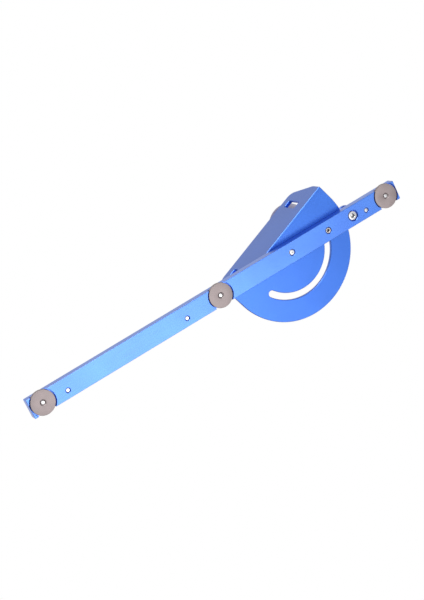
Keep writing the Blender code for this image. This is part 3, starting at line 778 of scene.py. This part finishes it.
def threaded_rod(name, radius, bottom, thread_top, top):
    """A rod whose lower part carries a real helical thread, with chamfered ends."""
    sides, rows_per_turn = 48, 8
    lead_in, lead_height = 0.6 * MM, 0.8 * MM           # the lower end's chamfer
    count = round((thread_top - bottom) / THREAD_PITCH * rows_per_turn)
    heights = [bottom]
    heights += [bottom + 0.15 * MM + (thread_top - bottom) * k / count for k in range(count + 1)]
    heights += [top - ROD_END_CHAMFER, top]
    cage = bmesh.new()
    rows = []
    for z in heights:
        lead = min(1.0, max(0.0, (z - bottom) / lead_height))
        fade = min(1.0, max(0.0, (thread_top - z) / THREAD_PITCH))
        row = []
        for k in range(sides):
            angle = 2 * pi * k / sides
            phase = ((z - bottom) / THREAD_PITCH - k / sides) % 1.0
            ridge = abs(2 * phase - 1)
            r = min(radius - THREAD_DEPTH * (1 - ridge) * fade, radius - lead_in * (1 - lead))
            if z >= top:
                r = radius - ROD_END_CHAMFER
            row.append(cage.verts.new((r * cos(angle), r * sin(angle), z)))
        rows.append(row)
    for row, above in zip(rows, rows[1:]):
        for k in range(sides):
            j = (k + 1) % sides
            cage.faces.new((row[k], row[j], above[j], above[k]))
    cage.faces.new(rows[0][::-1])
    cage.faces.new(rows[-1])
    return to_mesh(cage, name)


def handle_section(bottom, top, grip):
    """The handle's dished crown, its tapered side with two grooves, its foot and its stepped bore."""
    side = [(0, top - HANDLE_DISH_DEPTH), (HANDLE_DISH * 0.6, top - HANDLE_DISH_DEPTH * 0.8)]
    crown = [pi / 2 * i / 24 for i in range(25)]
    dome = top - HANDLE_GRIP_Z
    side += [(grip * sin(a), HANDLE_GRIP_Z + dome * cos(a)) for a in crown if grip * sin(a) > HANDLE_DISH]
    grooves = (HANDLE_GRIP_Z - 3.5 * MM, HANDLE_WAIST_Z + 1.5 * MM)
    steps = 118
    for i in range(1, steps + 1):
        t = i / steps
        ease = (1 + cos(pi * t ** 0.8)) / 2
        z = HANDLE_GRIP_Z - (HANDLE_GRIP_Z - HANDLE_WAIST_Z) * t
        nearest = min(abs(groove - z) for groove in grooves)
        cut = max(0.0, 1 - (nearest / GROOVE_HALF_WIDTH) ** 2)
        side.append((HANDLE_WAIST + (grip - HANDLE_WAIST) * ease - GROOVE_DEPTH * cut, z))
    base, seat = HANDLE_BASE, bottom + INSERT_BORE_DEPTH
    # The foot is a short cylinder with a rounded lower edge
    foot = [(base - 0.15 * MM, bottom + 5.5 * MM), (base, bottom + 4 * MM), (base, bottom + 0.9 * MM),
            (base - 0.25 * MM, bottom + 0.3 * MM), (base - 0.8 * MM, bottom)]
    bore = [(INSERT_BORE, bottom), (INSERT_BORE, seat), (STUD_BORE, seat), (STUD_BORE, STUD_BORE_TOP),
            (0, STUD_BORE_TOP)]
    return side + foot + bore


def make_clamp():
    """The stud, the washer that rises with the handle, and the handle."""
    radius, bottom, top = span("clamp_stud")[1:]
    rod = threaded_rod("clamp_stud", radius, bottom, STUD_THREAD_TOP, top)
    stud = thing("clamp_stud_threaded", rod, CLAMP)
    carve(stud, socket_cutters(STUD_SOCKET, bottom, -1, CLAMP))
    piece(stud, "bar", "bright_fasteners", oiled_steel, "clamp_stud")
    radius, bottom, top = span("clamp_washer")[1:]
    section = ring_section(CLAMP_WASHER_BORE, radius, bottom, top, 0.3 * MM)
    washer = thing("clamp_washer_turned", revolve("clamp_washer", section), CLAMP)
    piece(washer, "washer", "turned_steel", washer_steel, "clamp_washer")
    radius, bottom, top = span("clamp_handle")[1:]
    section = handle_section(bottom, top, radius)
    handle = thing("clamp_handle_turned", revolve("clamp_handle", section, 128), CLAMP)
    piece(handle, "handle", "handle_anodised", lilac_knob, "clamp_handle")


def finish_kept_nodes():
    """The insert and the bush keep their CAD shape and get a finer material."""
    for name, finish in (("handle_insert", insert_metal), ("pivot_bush", bush_metal)):
        node = frame["nodes"][name]
        node.data.materials.clear()
        node.data.materials.append(finish)


# ---------------------------------------------------------------- pointer

def make_pointer():
    """The spacer, the pointer with its index line, and the screw and nut that hold them."""
    radius, bottom, top = span("pointer_spacer")[1:]
    section = ring_section(M5_RADIUS + 0.2 * MM, radius, bottom, top, 0.3 * MM)
    spacer = thing("pointer_spacer_turned", revolve("pointer_spacer", section), POINTER)
    piece(spacer, "bar", "spacer_aluminium", spacer_metal, "pointer_spacer")
    low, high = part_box("pointer")
    boss_radius, nose = (high.y - low.y) / 2, high.x - POINTER.x
    outline = arc((0, 0), boss_radius, POINTER_ANGLE, 2 * pi - POINTER_ANGLE, 72)
    outline += [(nose, -POINTER_TIP), (nose, POINTER_TIP)]
    hole = circle(M5_RADIUS + GAP, HOLE_STEPS)
    plate = slab("pointer_plate", outline, [hole], low.z, high.z, POINTER_EDGE)
    pointer = thing("pointer_plate", plate, POINTER)
    piece(pointer, "bar", "blue_anodised", blue_bar, "pointer")
    cage = bmesh.new()
    place = Matrix.Translation((nose - INDEX_SETBACK - INDEX_LENGTH / 2, 0, high.z))
    add_box(cage, (INDEX_LENGTH, INDEX_WIDTH, 2 * PAINT_PROUD), place)
    line = thing("pointer_index_line", to_mesh(cage, "pointer_index_line"), POINTER)
    piece(line, "bar", "blue_anodised", white_marks)
    make_nut()
    make_cap_screw()


def make_nut():
    """A hexagon nut, its corners turned down at both ends."""
    low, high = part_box("pointer_nut")
    corner = (high.x - low.x) / 2
    flat = corner * cos(pi / 6)
    nut = thing("pointer_nut_hexagon", hexagon_mesh("pointer_nut", corner, low.z, high.z), POINTER)
    drop, face, outside = (corner - flat) * 0.75, flat * 0.97, corner + 0.1 * MM
    barrel = [(0, low.z), (face, low.z), (outside, low.z + drop), (outside, high.z - drop), (face, high.z),
              (0, high.z)]
    carve(nut, [thing("barrel", revolve("barrel", barrel), POINTER)], "INTERSECT")
    wide, hole = M5_RADIUS + 0.5 * MM, M5_RADIUS + 0.12 * MM
    bore = [(0, low.z - PAST), (wide, low.z - PAST), (wide, low.z), (hole, low.z + 0.4 * MM),
            (hole, high.z - 0.4 * MM), (wide, high.z), (wide, high.z + PAST), (0, high.z + PAST)]
    carve(nut, [thing("bore", revolve("bore", bore, HOLE_STEPS), POINTER)])
    piece(nut, "bar", "bright_fasteners", bright, "pointer_nut")


def make_cap_screw():
    """A cap-head screw with a knurled side, its head in the bar's counterbore."""
    radius, bottom, top = span("pointer_cap_screw")[1:]
    head_top = bottom + CAP_HEAD
    bottom += CAP_SINK
    corners = [(radius, bottom), (radius, head_top), (M5_RADIUS, head_top), (M5_RADIUS, top)]
    section = pin_section(corners, [0.45 * MM, 0.1 * MM, 0.1 * MM, 0.5 * MM])
    mesh = revolve("pointer_cap_screw", section, 3 * KNURLS)
    for vertex in mesh.vertices:
        on_side = bottom + 0.9 * MM < vertex.co.z < head_top + 0.01 * MM
        r = hypot(vertex.co.x, vertex.co.y)
        if on_side and r > radius - 0.05 * MM:
            ridge = 0.5 + 0.5 * cos(KNURLS * atan2(vertex.co.y, vertex.co.x))
            shrink = 1 - KNURL_DEPTH * ridge / r
            vertex.co.x *= shrink
            vertex.co.y *= shrink
    screw = thing("pointer_cap_screw_socket_head", mesh, POINTER)
    carve(screw, socket_cutters(CAP_SOCKET, bottom, -1, POINTER))
    piece(screw, "bar", "bright_fasteners", bright, "pointer_cap_screw")


# ---------------------------------------------------------------- stage, light and camera

def make_floor():
    """A pale floor under the bar. It is seen from above only, so that the camera below sees the object."""
    half, z = FLOOR_HALF, cad_low.z - FLOOR_DROP
    corners = [(-half, -half, z), (half, -half, z), (half, half, z), (-half, half, z)]
    mesh = bpy.data.meshes.new("floor")
    mesh.from_pydata(corners, [], [(0, 1, 2, 3)])
    floor = bpy.data.objects.new("floor", mesh)
    bpy.context.scene.collection.objects.link(floor)
    made = bpy.data.materials.new("pale_floor")
    made.use_nodes = True
    tree = made.node_tree
    shader = tree.nodes["Principled BSDF"]
    shader.inputs["Base Color"].default_value = (*FLOOR_GREY, 1)
    shader.inputs["Roughness"].default_value = 0.9
    shader.inputs["Specular IOR Level"].default_value = 0.1
    shader.inputs["Emission Color"].default_value = (1, 1, 1, 1)
    shader.inputs["Emission Strength"].default_value = FLOOR_GLOW
    side = new_node(tree, "ShaderNodeNewGeometry")
    clear = new_node(tree, "ShaderNodeBsdfTransparent")
    choice = new_node(tree, "ShaderNodeMixShader")
    tree.links.new(side.outputs["Backfacing"], choice.inputs[0])
    tree.links.new(shader.outputs[0], choice.inputs[1])
    tree.links.new(clear.outputs[0], choice.inputs[2])
    tree.links.new(choice.outputs[0], tree.nodes["Material Output"].inputs["Surface"])
    mesh.materials.append(made)
    floor.visible_shadow = False
    floor.visible_diffuse = False
    floor.visible_glossy = False


def softbox(name, location, target, width, height, power):
    """A rectangular area light that faces the target."""
    light = bpy.data.lights.new(name, "AREA")
    light.shape = "RECTANGLE"
    light.size = width
    light.size_y = height
    light.energy = power
    lamp = bpy.data.objects.new(name, light)
    bpy.context.scene.collection.objects.link(lamp)
    lamp.location = location
    lamp.rotation_euler = (Vector(target) - Vector(location)).to_track_quat("-Z", "Y").to_euler()


def make_world():
    """White where the camera sees it; as light, strong from below, weaker from the sides and above."""
    world = bpy.data.worlds.new("studio")
    bpy.context.scene.world = world
    world.use_nodes = True
    tree = world.node_tree
    backdrop = tree.nodes["Background"]
    backdrop.inputs["Color"].default_value = (1, 1, 1, 1)
    place = new_node(tree, "ShaderNodeTexCoord")
    split = new_node(tree, "ShaderNodeSeparateXYZ")
    ramp = new_node(tree, "ShaderNodeValToRGB")
    ramp.color_ramp.elements.new(0.5)
    for stop, level in zip(ramp.color_ramp.elements, (WORLD_BELOW, WORLD_SIDE, WORLD_ABOVE)):
        stop.color = (level, level, level, 1)
    tree.links.new(place.outputs["Generated"], split.inputs["Vector"])
    tree.links.new(remap(tree, split.outputs["Z"], -1, 1, 0, 1), ramp.inputs["Fac"])
    light = new_node(tree, "ShaderNodeBackground")
    light.inputs["Strength"].default_value = WORLD_STRENGTH
    tree.links.new(ramp.outputs["Color"], light.inputs["Color"])
    path = new_node(tree, "ShaderNodeLightPath")
    choice = new_node(tree, "ShaderNodeMixShader")
    tree.links.new(path.outputs["Is Camera Ray"], choice.inputs[0])
    tree.links.new(light.outputs[0], choice.inputs[1])
    tree.links.new(backdrop.outputs[0], choice.inputs[2])
    tree.links.new(choice.outputs[0], tree.nodes["World Output"].inputs["Surface"])


def make_lights():
    """The softboxes, all aimed at the object's middle."""
    middle = (cad_low + cad_high) / 2
    for name, place, width, height, power in SOFTBOXES:
        softbox(name, place, middle, width, height, power)


def make_camera():
    """A long lens below the bar, looking up at its underside."""
    camera_data = bpy.data.cameras.new("camera")
    camera = bpy.data.objects.new("camera", camera_data)
    bpy.context.scene.collection.objects.link(camera)
    camera.location = CAMERA_PLACE
    camera.rotation_euler = [radians(angle) for angle in CAMERA_TURN]
    camera_data.lens = CAMERA_LENS
    camera_data.sensor_width = 36
    camera_data.clip_start = 0.01
    bpy.context.scene.camera = camera


make_bar()
for bar_place in PLACES:
    make_disc(bar_place)
    make_disc_screw(bar_place)
    make_fit_screw(bar_place)
make_head()
make_scale()
make_pivot()
make_clamp()
make_pointer()
finish_kept_nodes()
make_floor()
make_world()
make_lights()
make_camera()
bpy.context.scene.view_settings.view_transform = "Standard"
